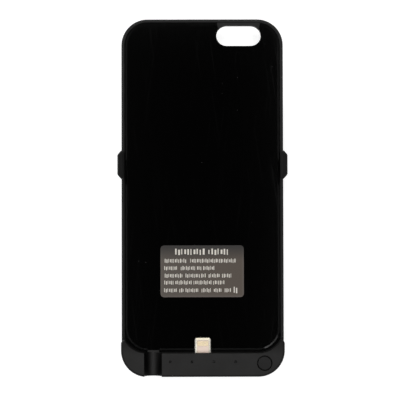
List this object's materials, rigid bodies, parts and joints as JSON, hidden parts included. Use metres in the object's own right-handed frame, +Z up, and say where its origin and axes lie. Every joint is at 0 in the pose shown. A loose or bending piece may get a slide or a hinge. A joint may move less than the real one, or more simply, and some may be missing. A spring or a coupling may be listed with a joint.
{
  "type": "battery charging case",
  "caption": "Clip-on battery charging case for a slim handset: glossy tray with camera slot, side clips, and a chin with dock plug, power button and audio channel.",
  "frame": {"origin": "middle of the flat back, on the surface that the case lies on", "axes": "+Z up through the tray, +Y towards the camera end, +X to the right seen from the tray side"},
  "size_m": [0.0716, 0.151, 0.0225],
  "materials": {
    "matt_black": "fine matt texture",
    "gloss_black": "piano gloss",
    "grey_label": "satin film",
    "plated_metal": "plated, satin",
    "pale_core": "moulded, pale",
    "gold_contact": "gold plated",
    "black_nylon": "moulded",
    "socket_steel": "tinned",
    "circuit_board": "solder mask",
    "chip_black": "moulded",
    "ferrite_grey": "sintered",
    "ceramic_tan": "fired",
    "led_yellow": "clear lens",
    "clear_plastic": "clear, moulded",
    "pouch_foil": "laminated foil",
    "nickel_strip": "rolled",
    "white_tape": "film tape",
    "grey_foam": "open foam",
    "red_wire": "insulated wire",
    "black_wire": "insulated wire"
  },
  "bodies": {
    "case": {"back_housing": "matt_black", "chin_cover": "matt_black", "phone_tray": "gloss_black", "rating_label": "grey_label", "plug_frame": "plated_metal", "plug_insert": "pale_core", "plug_contacts": "gold_contact", "output_contacts": "gold_contact", "input_contacts": "gold_contact", "plug_collar": "black_nylon", "board_header": "black_nylon", "output_tongue": "black_nylon", "input_tongue": "black_nylon", "switch_body": "black_nylon", "output_shell": "socket_steel", "input_shell": "socket_steel", "switch_cover": "socket_steel", "board_screws": "socket_steel", "main_board": "circuit_board", "plug_board": "circuit_board", "protection_board": "circuit_board", "charge_chip": "chip_black", "boost_chip": "chip_black", "protection_chips": "chip_black", "boost_coil": "ferrite_grey", "capacitors": "ceramic_tan", "indicator_leds": "led_yellow", "light_guide": "clear_plastic", "lower_cell": "pouch_foil", "upper_cell": "pouch_foil", "cell_tabs": "nickel_strip", "cell_tape": "white_tape", "foam_pads": "grey_foam", "positive_lead": "red_wire", "negative_lead": "black_wire"},
    "button": {"power_button": "matt_black", "switch_plunger": "black_nylon"}
  },
  "joints": [
    {"name": "button_press", "type": "slide", "parent": "case", "child": "button", "axis": [0, 0, 1], "range_m": [-0.0003, 0], "stiffness_N_per_m": 1500}
  ]
}
